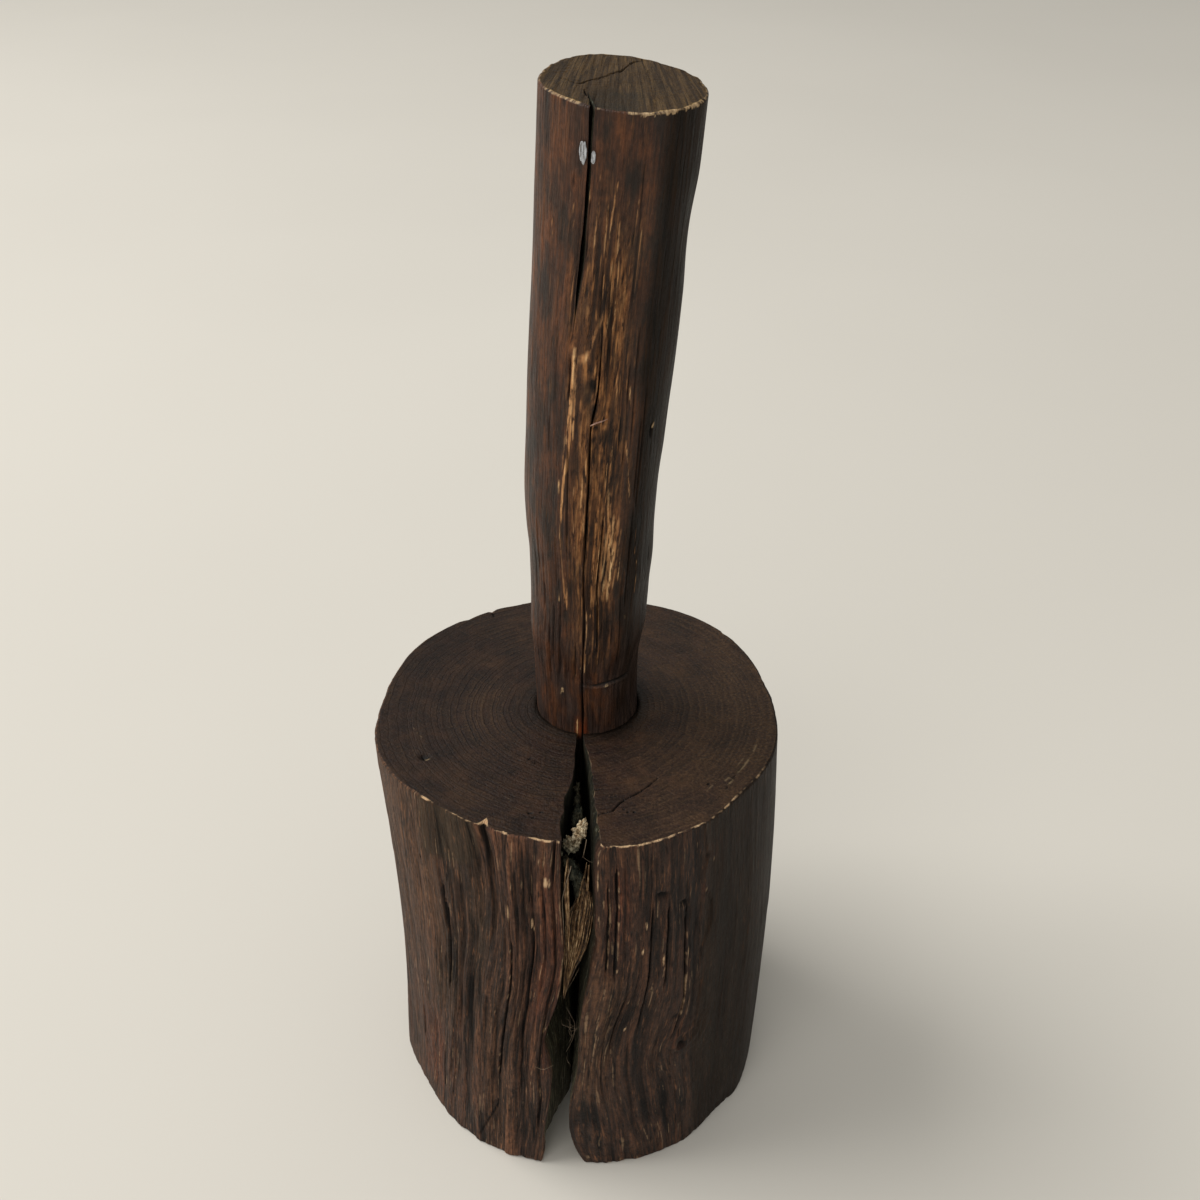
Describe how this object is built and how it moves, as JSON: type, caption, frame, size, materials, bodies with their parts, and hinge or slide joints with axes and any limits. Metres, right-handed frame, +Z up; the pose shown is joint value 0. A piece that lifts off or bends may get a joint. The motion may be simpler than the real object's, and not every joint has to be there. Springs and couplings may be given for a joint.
{
  "type": "wooden mallet",
  "caption": "Rustic log mallet: split, dark-stained log head standing on its sawn end, with a crooked round stick handle wedged in its end grain.",
  "frame": {"origin": "on the log's lower sawn end, under the centre of the whole mallet's box, within 2 mm of the log's growth centre", "axes": "+Z up along the log towards the handle's free end; -Y towards the side with the log's drying split; +X completes the right-handed frame"},
  "size_m": [0.1324, 0.1298, 0.3543],
  "materials": {
    "head_wood": "dark stain under worn satin varnish",
    "handle_wood": "red-brown stain under satin varnish, worn to bare wood in streaks",
    "wedge_wood": "raw split wood",
    "torn_fibre": "raw torn fibre, dusty",
    "pale_wood": "raw crumbly wood",
    "dried_paint": "dried flat paint"
  },
  "bodies": {
    "root": {"head": "head_wood", "handle": "handle_wood", "tenon_wedge": "wedge_wood", "torn_slivers": "torn_fibre", "lodged_chip": "pale_wood"}
  },
  "joints": []
}
